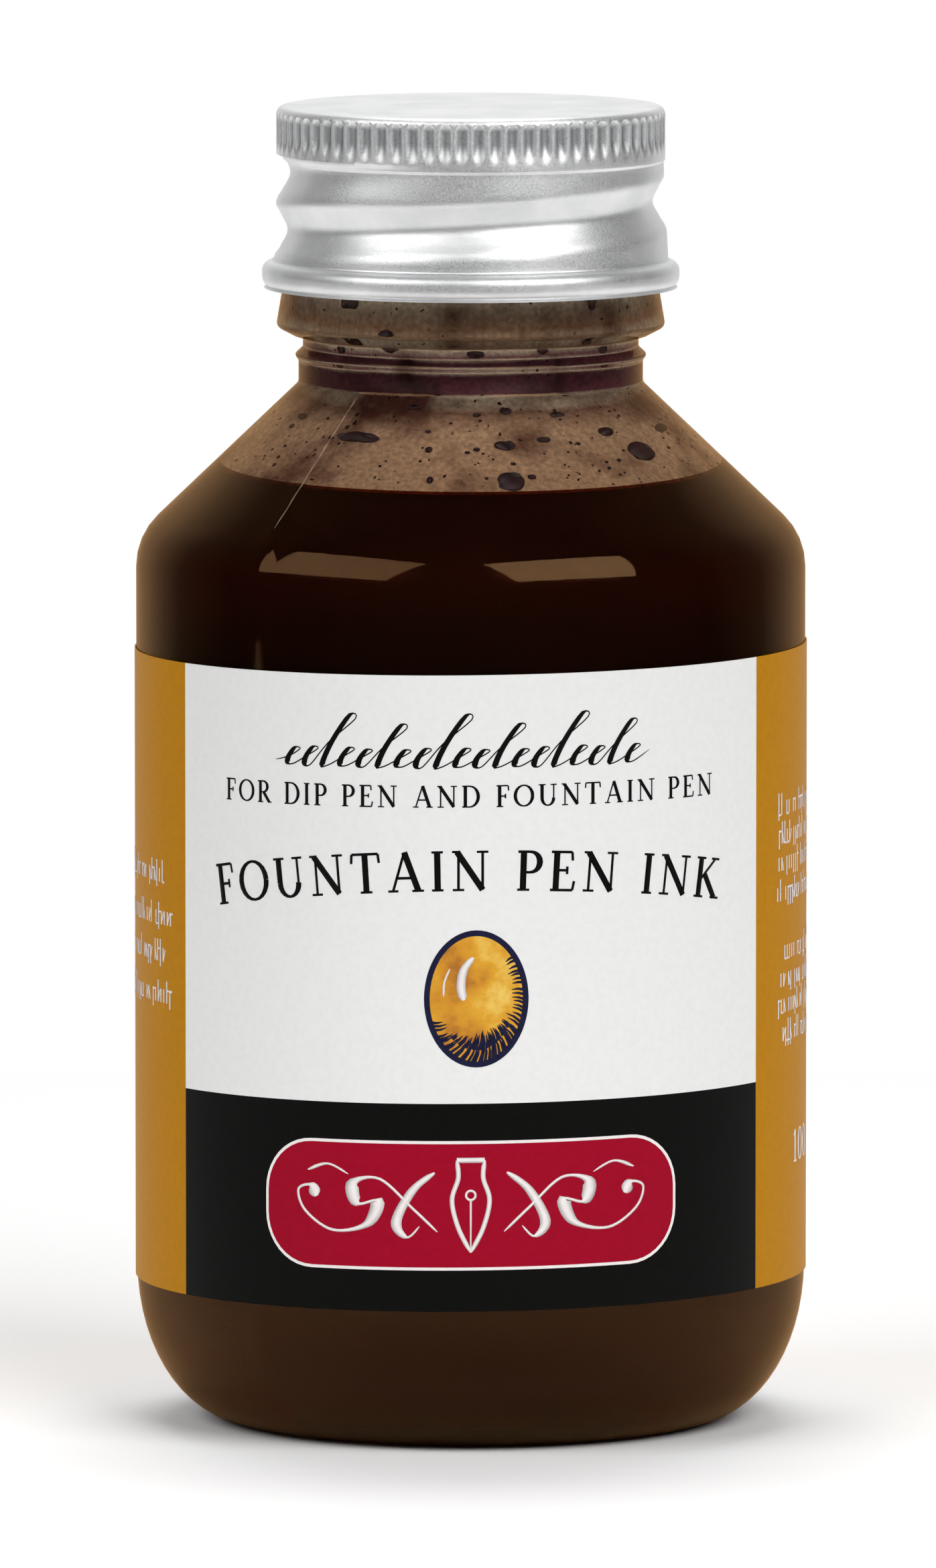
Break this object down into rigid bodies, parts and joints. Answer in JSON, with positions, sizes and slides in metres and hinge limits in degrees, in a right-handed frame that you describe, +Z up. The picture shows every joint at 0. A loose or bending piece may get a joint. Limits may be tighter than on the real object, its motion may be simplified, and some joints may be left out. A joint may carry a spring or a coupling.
{
  "type": "ink bottle",
  "caption": "Round glass ink bottle with sloped shoulder, short collared neck, wraparound paper label, ink fill, and a rolled aluminium screw cap with a lined top.",
  "frame": {"origin": "centre of the base, on the surface the bottle stands on", "axes": "+Z up along the bottle's axis, -Y towards the middle of the label's front panel, +X to that panel's right"},
  "size_m": [0.0492, 0.0492, 0.0962],
  "materials": {
    "clear_glass": "clear blown soda-lime glass, stained by ink inside",
    "ink": "dark writing ink, glossy surface",
    "printed_paper": "coated label paper, printed white, black, ochre and red",
    "rolled_aluminium": "plain satin, rolled and knurled",
    "pulpboard": "uncoated grey-brown board",
    "liner_film": "smooth white sealing film"
  },
  "bodies": {
    "bottle": {"glass_bottle": "clear_glass", "ink_fill": "ink", "wrap_label": "printed_paper"},
    "liner": {"liner_board": "pulpboard", "liner_facing": "liner_film"},
    "cap": {"cap_shell": "rolled_aluminium"}
  },
  "joints": [
    {"name": "cap_lift", "type": "slide", "parent": "bottle", "child": "liner", "axis": [0, 0, 1], "range_m": [0, 0.01693]},
    {"name": "cap_turn", "type": "hinge", "parent": "liner", "child": "cap", "pos_m": [0, 0, 0.09], "axis": [0, 0, 1], "range_deg": [0, 1440]}
  ],
  "couplings": [
    {"joint": "cap_lift", "follows": "cap_turn", "m_per_rad": 0.00067323}
  ]
}
